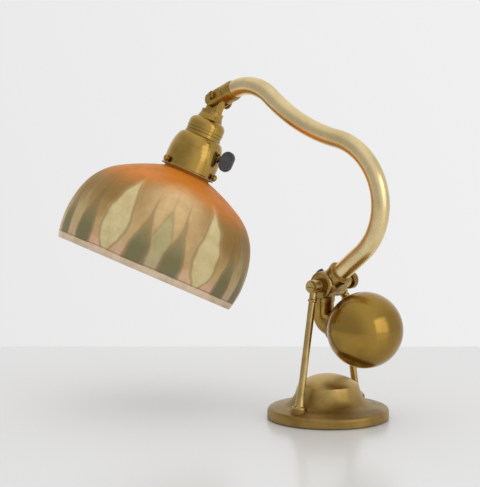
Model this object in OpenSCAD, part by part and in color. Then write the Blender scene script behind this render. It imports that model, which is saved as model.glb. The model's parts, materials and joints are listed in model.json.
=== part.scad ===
// Counterbalanced desk lamp: a brass swan-neck arm tilts in a two-legged stand,
// with a heavy ball on its short end and a domed glass shade on its long end.
// Millimetres, +Z up. The origin is the middle of the underside of the base.
// The arm lies in the XZ plane, shade towards -X, ball towards +X, tilt axis along Y.

/* [Base] */
// Diameter over the edge of the base
base_d = 126; // [110:1:150]
// Height of the bell in the middle of the base
base_h = 46; // [40:1:54]
// Thickness of the spun brass
base_wall = 2; // [1.5:0.1:3]
// Width of flange and cove, from the bell out to the edge
ledge_w = 30; // [28:0.5:32]
// Radius of the hollow cove between flange and bell
cove_r = 18; // [14:0.5:20]
// Radius of the rolled edge of the base
edge_r = 4; // [3:0.5:5]
// Thickness of the felt under the base
felt_t = 2; // [1:0.5:3]

/* [Stand] */
// Height of the tilt axis above the table
pivot_h = 140; // [130:1:160]
// Distance between the middles of the two leg eyes
leg_gap = 48; // [44:1:56]
// Distance of the middle of a leg's foot from the edge of the base
foot_in = 15; // [14:0.5:17]
// Height at which the legs stand on the base
seat_h = 16; // [15.5:0.5:18]
// Diameter of a leg
leg_d = 7.5; // [6.5:0.5:9]
// Diameter of the turned foot of a leg
leg_foot_d = 15; // [13:1:17]
// Diameter of the eye at the top of a leg
eye_d = 14; // [13:0.5:17]
// Thickness of the eye
eye_t = 10; // [9:0.5:12]
// Diameter of the two pivot pins
pin_d = 6; // [5:0.5:7]
// Diameter of the stud under each leg
stud_d = 5; // [4:0.5:6]

/* [Hub] */
// Diameter of the drum of the hub
hub_d = 28; // [26:1:32]
// Width of the drum of the hub
hub_w = 30; // [28:1:34]
// Diameter of the hub's two necks
hub_neck_d = 14; // [12:0.5:16]
// Thickness of a friction washer
washer_t = 1.2; // [0.8:0.1:2]
// Diameter of the tension knob
knob_d = 18; // [16:1:22]

/* [Arm] */
// Outer diameter of the arm tube
tube_d = 19; // [16:0.5:20]
// Wall of the arm tube
tube_wall = 1.5; // [1:0.1:2]
// Angle at which the tube leaves the hub
arm_rise = 40; // [37:0.5:43]
// Straight run from the tilt axis to the bow
arm_run = 54.5; // [52:0.5:58]
// Radius of the wide bow above the hub
bow_r = 65.5; // [62:0.5:70]
// Turn of the bow
bow_turn = 131; // [128:0.5:135]
// Radius of the gentle reverse curve
wave_r = 185; // [175:1:195]
// Turn of the reverse curve
wave_turn = 30; // [27:0.5:33]
// Radius of the arch over the shade
arch_r = 46; // [43:0.5:50]
// Turn of the arch
arch_turn = 65; // [62:0.5:68]
// Straight end of the tube in the ferrule
arm_tail = 7; // [6:0.5:10]

/* [Counterweight] */
// Diameter of the ball
ball_d = 78; // [72:1:82]
// Distance of the ball's middle in front of the tilt axis
ball_x = 47; // [45:1:52]
// Room between the ball and the top of the bell
ball_room = 12; // [8:0.5:14]
// Thickness of the ball's brass skin
ball_wall = 2; // [1.5:0.1:3]
// Diameter of the bent stem that carries the ball
stem_d = 22; // [20:0.5:23]
// Radius of the stem's bend
elbow_r = 13; // [12.5:0.5:16]
// Thickness of the ring between stem and ball
collar_t = 2; // [1.5:0.5:4]
// Diameter of the stem's two spigots
spigot_d = 10; // [8:0.5:11]

/* [Knuckle] */
// Diameter of the ferrule and fork
knuckle_d = 22; // [20:0.5:24]
// Distance from the end of the tube to the knuckle pin
knuckle_reach = 18; // [17.5:0.5:21]
// Thickness of the tongue in the fork
tongue_t = 9; // [7:0.5:10]
// Diameter of the knuckle pin
knuckle_pin_d = 5; // [4:0.5:6]
// Swivel of the head about the end of the arm
swivel_turn = 27; // [0:1:45]
// Bend of the head at the knuckle
head_bend = 54.5; // [30:0.5:70]

/* [Lampholder] */
// Diameter of the lampholder shell
shell_d = 37; // [35:0.5:39]
// Wall of the lampholder shell
shell_wall = 0.8; // [0.6:0.1:1.2]
// Distance from the knuckle pin to the top of the cap
cap_top = 15; // [14:0.5:18]
// Height of the cap
cap_h = 22; // [18:1:26]
// Length of the shell below the cap
shell_h = 36; // [32:1:40]
// Distance from the knuckle pin to the switch key
key_z = 59; // [57:0.5:61]
// Turn of the switch key about the lampholder
key_side = 152; // [-180:1:180]
// Distance from the lampholder's axis to the middle of the key's grip
key_out = 38; // [37.5:0.5:42]
// Width of the key's flat grip
grip_d = 15; // [13:0.5:15]
// Length of the key's flat grip
grip_l = 22; // [19:1:24]
// Diameter of the key's spindle
spindle_d = 4; // [3:0.5:5]

/* [Shade] */
// Distance from the knuckle pin to the rim of the shade
rim_z = 201; // [190:1:215]
// Diameter of the rim
rim_d = 196; // [180:1:216]
// Largest diameter of the shade
shade_d = 204; // [186:1:224]
// Height of the largest diameter above the rim
belly_h = 28; // [20:1:36]
// Radius of the shoulder
shoulder_r = 63.5; // [54:0.5:70]
// Radius of the crown
crown_r = 220; // [200:5:300]
// Diameter of the glass neck
neck_d = 50; // [48:0.5:51]
// Height of the glass neck
neck_h = 11; // [9:0.5:13]
// Thickness of the glass
glass_t = 3; // [2.5:0.5:5]
// Diameter of the holder's skirt
skirt_d = 57; // [56:0.5:62]
// Diameter of the lamp bulb
bulb_d = 60; // [50:1:66]

/* [Fits] */
// Radial room of a turning pin
run_fit = 0.05; // [0.02:0.01:0.09]
// Room between pieces that move past each other
gap = 0.3; // [0.2:0.05:0.5]
// Radial room of a fixed spigot in its hole
slip_fit = 0.05; // [0.02:0.01:0.1]

/* [Hidden] */
$fn = 72;

pin_r = pin_d / 2;
eye_y = leg_gap / 2;
eye_in = eye_y - eye_t / 2;
eye_out = eye_y + eye_t / 2;
hub_half = eye_in - washer_t - gap;
hub_r = hub_d / 2;
pin_reach = 8;
screw_head = 2.5;
knob_neck = 3;
knob_h = 7;
wire_r = 3.2;
flex_r = 2.2;
bushing_in = 3;
bushing_out = 3;
boss_r = tube_d / 2 + 2.5;
boss_end = 20;
tube_start = 9;
screw_back = 5;

leg_lean = atan((base_d / 2 - foot_in - eye_y) / (pivot_h - seat_h));
leg_len = (pivot_h - seat_h) / cos(leg_lean);
leg_r = leg_d / 2;
leg_foot_r = leg_foot_d / 2;
leg_top = pin_r + 2;
leg_bead = 1.2;
pad_r = leg_foot_d / 2 + 1;
pad_h = 8;
hole_len = 30;
nut_drop = 8.15;
nut_t = 4.5;
nut_af = 10;
nut_room = 8;

flange_rise = 2.5;
bell_d = base_d - 2 * ledge_w;
flange_in = bell_d / 2 + cove_r;
flange_z = felt_t + 9.5;
cove_z = flange_z + flange_rise + cove_r;
dome_r0 = bell_d / 2 - 2;
dome_z0 = base_h - 10.5;
dome_sag = base_h - dome_z0;
dome_R = (dome_r0 * dome_r0 + dome_sag * dome_sag) / (2 * dome_sag);
foot_z = felt_t - 1;

ball_r = ball_d / 2;
ball_z = base_h + ball_room + ball_r;
collar_r = 15;
collar_x = ball_x - ball_r - collar_t;
stem_r = stem_d / 2;
stem_x = collar_x - elbow_r;
stem_top = pivot_h - hub_r - 4.5;
stem_boss_r = stem_r + 0.8;
spigot_r = spigot_d / 2;
spigot_in = 8;
ball_spigot = 26;

tube_r = tube_d / 2;
bore_r = tube_r - tube_wall;
turn1 = arm_rise + bow_turn;
turn2 = turn1 - wave_turn;
turn3 = turn2 + arch_turn;
function heading(a) = [cos(a), sin(a)];
function left_of(a) = [-sin(a), cos(a)];
bow_at = arm_run * heading(arm_rise);
wave_at = bow_at + bow_r * (left_of(arm_rise) - left_of(turn1));
arch_at = wave_at - wave_r * (left_of(turn1) - left_of(turn2));
tail_at = arch_at + arch_r * (left_of(turn2) - left_of(turn3));
tip_at = tail_at + arm_tail * heading(turn3);

knuckle_r = knuckle_d / 2;
ferrule_back = arm_tail;
ferrule_front = 3;
fork_base = ferrule_front + gap;
fork_floor = knuckle_reach - knuckle_r - 1;
swivel_pin_r = 3;
kpin_r = knuckle_pin_d / 2;
cheek_in = tongue_t / 2 + gap;
cheek_t = 5;
cheek_out = cheek_in + cheek_t;
tongue_r = knuckle_r - 1;
neck_r0 = knuckle_r - 1.5;
neck_z0 = knuckle_r + 2;

shell_r = shell_d / 2;
cap_end = cap_top + cap_h;
cap_wall = 1.2;
cap_r = shell_r + slip_fit + cap_wall;
shell_top = cap_end - 5;
shell_end = cap_end + shell_h;
liner_t = 0.8;
liner_r = shell_r - shell_wall - slip_fit;
body_r = liner_r - liner_t - slip_fit;
body_top = cap_end - 4;
body_end = key_z + 6;
thread_out = 14;
thread_t = 0.5;
thread_end = shell_end + 9;
spindle_r = spindle_d / 2;
grip_t = 4.8;
grip_up = (grip_l - grip_d) / 2;
bush_r = spindle_r + 1.4;
bush_out = skirt_d / 2 + 1;

neck_r = neck_d / 2;
skirt_r = skirt_d / 2;
skirt_wall = 1.2;
rim_r = rim_d / 2;
belly_r = shade_d / 2;
swell = belly_r - rim_r;
side_R = (swell * swell + belly_h * belly_h) / (2 * swell);
side_at = [belly_r - side_R, belly_h];
side_a = 20;
shoulder_a = 60;
shoulder_at = side_at + (side_R - shoulder_r) * heading(side_a);
crown_at = shoulder_at + (shoulder_r - crown_r) * heading(shoulder_a);
crown_a = acos((neck_r - crown_at[0]) / crown_r);
crown_h = crown_at[1] + crown_r * sin(crown_a);
shade_h = crown_h + neck_h;
neck_top = rim_z - shade_h;
skirt_end = neck_top + neck_h - 2;
skirt_top = neck_top - 1.2;
bell_mid = skirt_top - 5;
bell_rise = 25;
bell_top = bell_mid - bell_rise;
collar_len = 3;
bell_r = shell_r + 1.3;
screw_z = neck_top + neck_h / 2 - 1;
bulb_r = bulb_d / 2;
cap_screw_r = thread_out - thread_t - 0.1;
bulb_seat = body_end + 2;
bulb_neck = thread_end + 2;
bulb_rise = 38;
bulb_mid = bulb_neck + bulb_rise;
mount_h = 24;
coil_up = bulb_rise - 4;
coil_r = bulb_d / 2 - 19;
coil_t = 0.5;

// Points of an arc about c from angle a to angle b
function arc(c, r, a, b, n = 10) = [for (i = [0:n]) c + r * heading(a + (b - a) * i / n)];

// Outline of the base from its foot to the top of the bell, drawn in by t
function base_line(t) = concat(
  [[base_d / 2 - t, foot_z]],
  arc([base_d / 2 - edge_r, flange_z - edge_r], edge_r - t, 0, 80, 8),
  arc([flange_in, cove_z], cove_r + t, 268, 190, 12),
  arc([0, base_h - dome_R], dome_R - t, acos(dome_r0 / dome_R), 90, 10));

// Outline of the shade from the rim to the neck, drawn in by t
function shade_line(t, n) = concat(
  arc(side_at, side_R - t, -asin(belly_h / (side_R - t)), side_a, 8),
  arc(shoulder_at, shoulder_r - t, side_a + 5, shoulder_a, 8),
  arc(crown_at, crown_r - t, shoulder_a + 3, acos((neck_r - n - crown_at[0]) / (crown_r - t)), 5));

// Outline of the bell from its collar to the skirt
function bell_line(a, b) = [for (i = [0:9])
  let (q = -90 + 10 * i)
  [bell_r + a * cos(q), bell_mid + b * sin(q)]];

function backwards(p) = [for (i = [len(p) - 1:-1:0]) p[i]];

// Places children at a leg's eye with -Z down the leg
module on_leg(side) {
  translate([0, side * eye_y, pivot_h])
    rotate([side * leg_lean, 0, 0])
      children();
}

// Places children at the tilt axis, X and Y in the arm's plane
module in_arm() {
  translate([0, 0, pivot_h])
    rotate([90, 0, 0])
      children();
}

// Places children at the end of the tube with +Z along the tube
module at_tip() {
  translate([tip_at[0], 0, pivot_h + tip_at[1]])
    rotate([0, 90 - turn3, 0])
      children();
}

// Places children in the swivel, which turns about the tube's end
module in_swivel() {
  at_tip()
    rotate([0, 0, swivel_turn])
      children();
}

// Places children at the knuckle pin with +Z down the lampholder to the shade
module in_head() {
  in_swivel()
    translate([0, 0, knuckle_reach])
      rotate([0, -head_bend, 0])
        children();
}

// Places children on the key's spindle with +X outwards
module on_key() {
  in_head()
    rotate([0, 0, key_side])
      translate([0, 0, key_z])
        children();
}

// A straight run along X of the given length
module run(len, r) {
  rotate([0, 90, 0])
    cylinder(h = len, r = r);
}

// A bend that starts at the origin along X and turns left by a
module bend_left(big, a, r) {
  translate([0, big, 0])
    rotate([0, 0, -90])
      rotate_extrude(angle = a)
        translate([big, 0])
          circle(r);
}

// A tube around Z from z0 to z1
module sleeve(z0, z1, r, inner) {
  translate([0, 0, z0])
    rotate_extrude()
      translate([inner, 0])
        square([r - inner, z1 - z0]);
}

// A cylinder along Y from y0 to y1
module rod_y(y0, y1, r) {
  translate([0, y0, 0])
    rotate([-90, 0, 0])
      cylinder(h = y1 - y0, r = r);
}

module base_cavity() {
  rotate_extrude()
    polygon(concat([[0, foot_z - 1], [base_d / 2 - base_wall, foot_z - 1]], base_line(base_wall)));
}

module base_shell() {
  color("darkgoldenrod")
    difference() {
      union() {
        rotate_extrude()
          polygon(concat([[0, foot_z]], base_line(0)));
        for (side = [-1, 1])
          on_leg(side)
            translate([0, 0, -leg_len - pad_h])
              cylinder(h = pad_h, r = pad_r);
      }
      base_cavity();
      for (side = [-1, 1])
        on_leg(side) {
          translate([0, 0, -leg_len - hole_len / 2])
            cylinder(h = hole_len, r = stud_d / 2 + slip_fit);
          translate([0, 0, -leg_len])
            cylinder(h = hole_len / 2, r = leg_foot_r + gap);
        }
    }
}

module base_weight() {
  color("dimgray")
    difference() {
      rotate_extrude()
        polygon(concat([[0, felt_t], [base_d / 2 - base_wall, felt_t]],
          [for (p = base_line(base_wall)) if (p[1] > felt_t) p]));
      for (side = [-1, 1])
        on_leg(side) {
          translate([0, 0, -leg_len - hole_len / 2])
            cylinder(h = hole_len, r = stud_d / 2 + slip_fit);
          translate([0, 0, -leg_len - nut_drop - hole_len])
            cylinder(h = hole_len, r = nut_room);
        }
    }
}

module felt_pad() {
  color("darkolivegreen")
    cylinder(h = felt_t, r = base_d / 2 - base_wall - 0.5);
}

// One leg with its eye, turned foot and stud
module leg(side) {
  seat = -leg_len;
  stud_end = seat - nut_drop - nut_t - 0.5;
  difference() {
    union() {
      on_leg(side)
        rotate_extrude()
          polygon([
            [0, stud_end], [stud_d / 2, stud_end], [stud_d / 2, seat], [leg_foot_r, seat],
            [leg_foot_r, seat + 2], [leg_foot_r - 1, seat + 3], [leg_r + 1.5, seat + 3],
            [leg_r + 0.8, seat + 7], [leg_r, seat + 13], [leg_r, -eye_d - 2 * leg_bead],
            [leg_r + leg_bead, -eye_d - leg_bead], [leg_r + leg_bead, -eye_d],
            [leg_r, -eye_d + leg_bead], [leg_r, -leg_top], [0, -leg_top]]);
      translate([0, side * eye_y, pivot_h])
        rod_y(-eye_t / 2, eye_t / 2, eye_d / 2);
    }
    translate([0, side * eye_y, pivot_h])
      rod_y(-eye_t, eye_t, pin_r + slip_fit);
  }
}

module leg_near() {
  color("goldenrod") leg(-1);
}

module leg_far() {
  color("goldenrod") leg(1);
}

module leg_nuts() {
  color("gray")
    for (side = [-1, 1])
      on_leg(side)
        translate([0, 0, -leg_len - nut_drop - nut_t])
          difference() {
            cylinder(h = nut_t, d = nut_af / cos(30), $fn = 6);
            translate([0, 0, -1])
              cylinder(h = nut_t + 2, r = stud_d / 2 + slip_fit);
          }
}

// Near pivot: a shouldered screw with a low slotted head
module pivot_screw() {
  color("goldenrod")
    translate([0, 0, pivot_h])
      difference() {
        union() {
          rod_y(-eye_out, -pin_reach, pin_r);
          rod_y(-eye_out - screw_head, -eye_out, pin_r + 2.5);
        }
        translate([-10, -eye_out - screw_head - 1, -0.6])
          cube([20, 2.2, 1.2]);
      }
}

// Far pivot: a stud that carries the tension knob
module pivot_stud() {
  color("goldenrod")
    translate([0, 0, pivot_h])
      union() {
        rod_y(pin_reach, eye_out, pin_r);
        rod_y(eye_out, eye_out + 12, stud_d / 2);
      }
}

module tension_knob() {
  color("goldenrod")
    translate([0, eye_out + gap, pivot_h])
      rotate([-90, 0, 0])
        difference() {
          union() {
            cylinder(h = knob_neck + 1, r = pin_r + 2.2);
            translate([0, 0, knob_neck])
              cylinder(h = knob_h, r = knob_d / 2 - 1);
            translate([0, 0, knob_neck + 1])
              cylinder(h = knob_h - 2, r = knob_d / 2);
          }
          translate([0, 0, -1])
            cylinder(h = 2 * knob_h + knob_neck, r = stud_d / 2 + run_fit);
        }
}

module friction_washers() {
  color("saddlebrown")
    translate([0, 0, pivot_h])
      for (side = [0, 1])
        mirror([0, side, 0])
          difference() {
            rod_y(eye_in - washer_t, eye_in, hub_neck_d / 2 - 0.5);
            rod_y(eye_in - 5, eye_in + 5, pin_r + slip_fit);
          }
}

module hub_drum() {
  rotate([90, 0, 0])
    rotate_extrude()
      polygon(concat(
        [[0, -hub_half], [hub_neck_d / 2, -hub_half], [hub_neck_d / 2, -hub_w / 2]],
        arc([hub_r - 3, 3 - hub_w / 2], 3, -90, 0, 5),
        arc([hub_r - 3, hub_w / 2 - 3], 3, 0, 90, 5),
        [[hub_neck_d / 2, hub_w / 2], [hub_neck_d / 2, hub_half], [0, hub_half]]));
}

module pivot_hub() {
  color("goldenrod")
    difference() {
      union() {
        translate([0, 0, pivot_h])
          hub_drum();
        in_arm()
          rotate([0, 0, arm_rise]) {
            run(boss_end, boss_r);
            translate([boss_end - 3, 0, 0])
              run(3, boss_r + 1);
          }
        translate([stem_x, 0, stem_top])
          cylinder(h = pivot_h - stem_top, r = stem_boss_r);
      }
      translate([0, 0, pivot_h]) {
        rod_y(-eye_y, 1 - pin_reach, pin_r + run_fit);
        rod_y(pin_reach - 1, eye_y, pin_r + run_fit);
      }
      in_arm() {
        rotate([0, 0, arm_rise]) {
          translate([tube_start, 0, 0])
            run(20, tube_r + slip_fit);
          run(20, wire_r);
        }
        rotate([0, 0, 180 - arm_rise])
          run(30, wire_r);
      }
      translate([stem_x, 0, stem_top - 1])
        cylinder(h = spigot_in + 1.5, r = spigot_r + slip_fit);
      hub_screws(slip_fit, 20);
    }
}

// Small screws that hold the tube and the stem in the hub
module hub_screws(room, len) {
  in_arm()
    rotate([0, 0, arm_rise])
      translate([boss_end - screw_back, 0, tube_r + slip_fit])
        cylinder(h = len, r = 1.5 + room);
  translate([stem_x, -spigot_r - slip_fit, stem_top + spigot_in / 2])
    rotate([90, 0, 0])
      cylinder(h = len, r = 1.5 + room);
}

module set_screws() {
  color("gray")
    hub_screws(0, boss_r - tube_r);
}

// Lined hole where the flex enters the arm
module cord_bushing() {
  color("black")
    in_arm()
      rotate([0, 0, 180 - arm_rise])
        difference() {
          union() {
            translate([hub_r - bushing_in, 0, 0])
              run(bushing_in + 2, wire_r - slip_fit);
            difference() {
              translate([hub_r - 2, 0, 0])
                run(bushing_out + 2, 5);
              cylinder(h = hub_w, r = hub_r, center = true);
            }
          }
          run(hub_d, flex_r);
        }
}

// Stations along the middle of the arm tube, each with its place and heading
arm_path = concat(
  [for (d = [tube_start, arm_run]) concat(d * heading(arm_rise), [arm_rise])],
  [for (i = [1:18])
    let (a = arm_rise + bow_turn * i / 18)
    concat(bow_at + bow_r * (left_of(arm_rise) - left_of(a)), [a])],
  [for (i = [1:6])
    let (a = turn1 - wave_turn * i / 6)
    concat(wave_at - wave_r * (left_of(turn1) - left_of(a)), [a])],
  [for (i = [1:10])
    let (a = turn2 + arch_turn * i / 10)
    concat(arch_at + arch_r * (left_of(turn2) - left_of(a)), [a])],
  [concat(tip_at, [turn3])]);

// A ring of n points of radius r around a station
function ring_at(q, r, n) = [for (k = [0:n - 1])
  let (b = 360 * k / n, side = left_of(q[2]))
  [q[0] + r * cos(b) * side[0], q[1] + r * cos(b) * side[1], r * sin(b)]];

// A hollow tube swept along stations
module swept_tube(path, r, inner, n) {
  m = len(path);
  last = m - 1;
  outer_skin = [for (j = [0:m - 2], k = [0:n - 1])
    [j * n + k, j * n + (k + 1) % n, (j + 1) * n + (k + 1) % n, (j + 1) * n + k]];
  inner_skin = [for (j = [0:m - 2], k = [0:n - 1])
    [m * n + j * n + k, m * n + (j + 1) * n + k, m * n + (j + 1) * n + (k + 1) % n, m * n + j * n + (k + 1) % n]];
  first_end = [for (k = [0:n - 1])
    [k, m * n + k, m * n + (k + 1) % n, (k + 1) % n]];
  last_end = [for (k = [0:n - 1])
    [last * n + k, last * n + (k + 1) % n, (m + last) * n + (k + 1) % n, (m + last) * n + k]];
  polyhedron(
    points = concat([for (q = path) each ring_at(q, r, n)], [for (q = path) each ring_at(q, inner, n)]),
    faces = concat(outer_skin, inner_skin, first_end, last_end),
    convexity = 8);
}

module arm_tube() {
  color("gold")
    in_arm()
      swept_tube(arm_path, tube_r, bore_r, 20);
}

module ball_stem() {
  color("goldenrod")
    union() {
      translate([stem_x, 0, stem_top])
        cylinder(h = spigot_in, r = spigot_r);
      translate([stem_x, 0, ball_z + elbow_r])
        cylinder(h = stem_top - ball_z - elbow_r, r = stem_r);
      translate([stem_x, 0, ball_z + elbow_r])
        rotate([90, 0, 0])
          rotate([0, 0, -90])
            bend_left(elbow_r, 90, stem_r);
      translate([collar_x, 0, ball_z])
        run(ball_spigot + collar_t, spigot_r);
    }
}

module ball_collar() {
  color("gold")
    difference() {
      translate([collar_x, 0, ball_z])
        rotate([0, 90, 0])
          sleeve(0, collar_t + 2.4, collar_r, spigot_r + slip_fit);
      translate([ball_x, 0, ball_z])
        sphere(ball_r + slip_fit);
    }
}

module ball_skin() {
  color("goldenrod")
    translate([ball_x, 0, ball_z])
      difference() {
        sphere(ball_r);
        sphere(ball_r - ball_wall);
        translate([-ball_d, 0, 0])
          run(ball_d, spigot_r + slip_fit);
      }
}

module ball_core() {
  color("slategray")
    translate([ball_x, 0, ball_z])
      difference() {
        sphere(ball_r - ball_wall);
        translate([-ball_d, 0, 0])
          run(ball_d - ball_r + ball_spigot, spigot_r + slip_fit);
      }
}

module arm_ferrule() {
  color("goldenrod")
    at_tip()
      difference() {
        union() {
          translate([0, 0, -ferrule_back])
            cylinder(h = ferrule_back - 4, r1 = tube_r + 0.8, r2 = knuckle_r - 0.2);
          translate([0, 0, -4])
            cylinder(h = 4 + ferrule_front, r = knuckle_r);
        }
        translate([0, 0, -ferrule_back - 1])
          cylinder(h = ferrule_back + 1, r = tube_r + slip_fit);
        translate([0, 0, -1])
          cylinder(h = 10, r = swivel_pin_r + run_fit);
      }
}

module swivel_fork() {
  color("goldenrod")
    in_swivel()
      difference() {
        union() {
          translate([0, 0, fork_base])
            cylinder(h = fork_floor - fork_base, r = knuckle_r);
          translate([0, 0, -gap - 2])
            cylinder(h = fork_base + gap + 2, r = swivel_pin_r);
          translate([0, 0, -gap - 2])
            cylinder(h = 2, r = bore_r - gap);
          intersection() {
            translate([0, 0, fork_floor])
              cylinder(h = 2 * knuckle_r + 2, r = knuckle_r);
            union() {
              translate([-knuckle_r, -cheek_out, fork_floor])
                cube([knuckle_d, 2 * cheek_out, knuckle_reach - fork_floor]);
              translate([0, 0, knuckle_reach])
                rod_y(-cheek_out, cheek_out, knuckle_r);
            }
          }
        }
        translate([-knuckle_d, -cheek_in, fork_floor])
          cube([2 * knuckle_d, 2 * cheek_in, 2 * knuckle_d]);
        translate([0, 0, knuckle_reach])
          rod_y(-knuckle_d, knuckle_d, kpin_r + slip_fit);
      }
}

module knuckle_pin() {
  color("goldenrod")
    in_swivel()
      translate([0, 0, knuckle_reach])
        difference() {
          union() {
            rod_y(-cheek_out, cheek_out + 7, kpin_r);
            rod_y(-cheek_out - 2.5, -cheek_out, kpin_r + 2);
          }
          translate([-6, -cheek_out - 3.5, -0.4])
            cube([12, 2, 0.8]);
        }
}

module knuckle_nut() {
  color("goldenrod")
    in_swivel()
      translate([0, 0, knuckle_reach])
        difference() {
          union() {
            rod_y(cheek_out + gap, cheek_out + 5.5, kpin_r + 3);
            rod_y(cheek_out + gap + 1.5, cheek_out + 4.5, kpin_r + 4);
          }
          rod_y(cheek_out - 1, cheek_out + 12, kpin_r + run_fit);
        }
}

module knuckle_tongue() {
  color("goldenrod")
    in_head()
      difference() {
        union() {
          rod_y(-tongue_t / 2, tongue_t / 2, tongue_r);
          translate([-neck_r0, -tongue_t / 2, 0])
            cube([2 * neck_r0, tongue_t, neck_z0 + 2]);
          translate([0, 0, neck_z0])
            cylinder(h = cap_top + 8 - neck_z0, r = neck_r0);
        }
        rod_y(-10, 10, kpin_r + run_fit);
      }
}

module holder_cap() {
  color("goldenrod")
    in_head()
      difference() {
        rotate_extrude()
          polygon(concat(
            [[0, cap_top], [neck_r0 + 2.5, cap_top], [neck_r0 + 2.5, cap_top + 4]],
            arc([neck_r0 + 2.5, cap_end - 5], cap_r - neck_r0 - 2.5, -75, 0, 8),
            [[cap_r, cap_end], [0, cap_end]]));
        rotate_extrude()
          polygon(concat(
            [[0, cap_top + 10], [neck_r0 + 0.5, cap_top + 10]],
            arc([neck_r0 + 2.5, cap_end - 5], cap_r - neck_r0 - 2.5 - cap_wall, -60, 0, 7),
            [[shell_r + slip_fit, cap_end + 1], [0, cap_end + 1]]));
        cylinder(h = 2 * cap_end, r = neck_r0 + slip_fit);
      }
}

module holder_shell() {
  color("goldenrod")
    difference() {
      in_head() {
        sleeve(shell_top, shell_end, shell_r, shell_r - shell_wall);
        sleeve(cap_end + 0.5, cap_end + 3, shell_r + 1, shell_r - shell_wall);
      }
      on_key()
        run(30, bush_r + slip_fit);
    }
}

module holder_liner() {
  color("tan")
    difference() {
      in_head()
        sleeve(body_top, shell_end - 1, liner_r, liner_r - liner_t);
      on_key()
        run(30, bush_r + gap);
    }
}

module switch_body() {
  color("ivory")
    difference() {
      in_head()
        translate([0, 0, body_top])
          cylinder(h = body_end - body_top, r = body_r);
      on_key()
        run(30, spindle_r + gap);
    }
}

module thread_shell() {
  color("gold")
    in_head()
      sleeve(body_end, thread_end, thread_out, thread_out - thread_t);
}

module centre_contact() {
  color("gold")
    in_head()
      translate([0, 0, body_end])
        cylinder(h = 2, r = 4);
}

module key_bushing() {
  color("goldenrod")
    difference() {
      union() {
        on_key()
          translate([liner_r - liner_t, 0, 0])
            run(bush_out - liner_r + liner_t, bush_r);
        difference() {
          on_key()
            translate([shell_r - 2, 0, 0])
              run(4, bush_r + 1);
          in_head()
            cylinder(h = rim_z, r = shell_r);
        }
      }
      on_key()
        run(40, spindle_r + run_fit);
    }
}

module switch_key() {
  color("dimgray")
    on_key() {
      translate([6, 0, 0])
        run(key_out - 6, spindle_r);
      translate([bush_out + gap, 0, 0])
        run(key_out - bush_out - gap, spindle_r + 1);
      translate([key_out, 0, 0])
        rotate([90, 0, 0])
          linear_extrude(height = grip_t, center = true)
            polygon(concat(
              arc([0, grip_up], grip_d / 2, 0, 180, 16),
              arc([0, -grip_up], grip_d / 2, 180, 360, 16)));
    }
}

// Bell on the lampholder that carries the glass, with a hole for the key
module shade_holder() {
  color("goldenrod")
    difference() {
      in_head()
        difference() {
          rotate_extrude()
            polygon(concat(
              [[shell_r + slip_fit, bell_top - collar_len], [bell_r, bell_top - collar_len]],
              bell_line(skirt_r - bell_r, bell_rise),
              [[skirt_r, skirt_end - 2], [skirt_r + 1, skirt_end - 1], [skirt_r + 1, skirt_end]],
              [[skirt_r - skirt_wall, skirt_end]],
              backwards(bell_line(skirt_r - bell_r - skirt_wall, bell_rise - skirt_wall)),
              [[shell_r + slip_fit, bell_top + skirt_wall]]));
          for (i = [0:2])
            rotate([0, 0, 120 * i + 30])
              translate([0, 0, screw_z])
                run(2 * skirt_r, 1.5 + slip_fit);
        }
      on_key()
        run(2 * skirt_r, bush_r + 1 + gap);
    }
}

module holder_screws() {
  color("goldenrod")
    in_head()
      for (i = [0:2])
        rotate([0, 0, 120 * i + 30])
          translate([neck_r + 0.1, 0, screw_z]) {
            run(skirt_r - neck_r + 2, 1.5);
            translate([skirt_r - neck_r + 1, 0, 0])
              run(4, 3.5);
          }
}

module glass_shade() {
  color("wheat")
    in_head()
      translate([0, 0, rim_z])
        rotate([180, 0, 0])
          rotate_extrude()
            polygon(concat(
              shade_line(0, 0),
              [[neck_r, shade_h - 3], [neck_r + 1.2, shade_h - 2], [neck_r + 1.2, shade_h]],
              [[neck_r - glass_t, shade_h]],
              backwards(shade_line(glass_t, glass_t))));
}

module bulb_cap() {
  color("gold")
    in_head()
      difference() {
        union() {
          translate([0, 0, bulb_seat])
            cylinder(h = 4, r1 = 4.5, r2 = cap_screw_r - 1.5);
          translate([0, 0, bulb_seat + 4])
            cylinder(h = bulb_neck - bulb_seat - 4, r = cap_screw_r);
        }
        translate([0, 0, bulb_seat + 5])
          cylinder(h = bulb_neck, r = cap_screw_r - 0.6);
      }
}

module bulb_glass() {
  color("white")
    in_head()
      difference() {
        rotate_extrude()
          polygon(concat(
            [[0, bulb_neck], [cap_screw_r, bulb_neck], [cap_screw_r, bulb_neck + 8]],
            arc([0, bulb_mid], bulb_r, -50, 90, 18)));
        rotate_extrude()
          polygon(concat(
            [[0, bulb_neck + 1], [cap_screw_r - 1, bulb_neck + 1], [cap_screw_r - 1, bulb_neck + 8]],
            arc([0, bulb_mid], bulb_r - 1, -50, 90, 18)));
      }
}

module bulb_stem() {
  color("white")
    in_head()
      union() {
        translate([0, 0, bulb_neck + 1])
          cylinder(h = mount_h, r1 = 6, r2 = 2.5);
        translate([0, 0, bulb_neck + mount_h])
          cylinder(h = coil_up - mount_h + 2, r = 1);
        translate([0, 0, bulb_neck + coil_up])
          rotate_extrude()
            translate([coil_r, 0])
              circle(coil_t);
        translate([-coil_r, 0, bulb_neck + coil_up])
          run(2 * coil_r, coil_t);
      }
}

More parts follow.
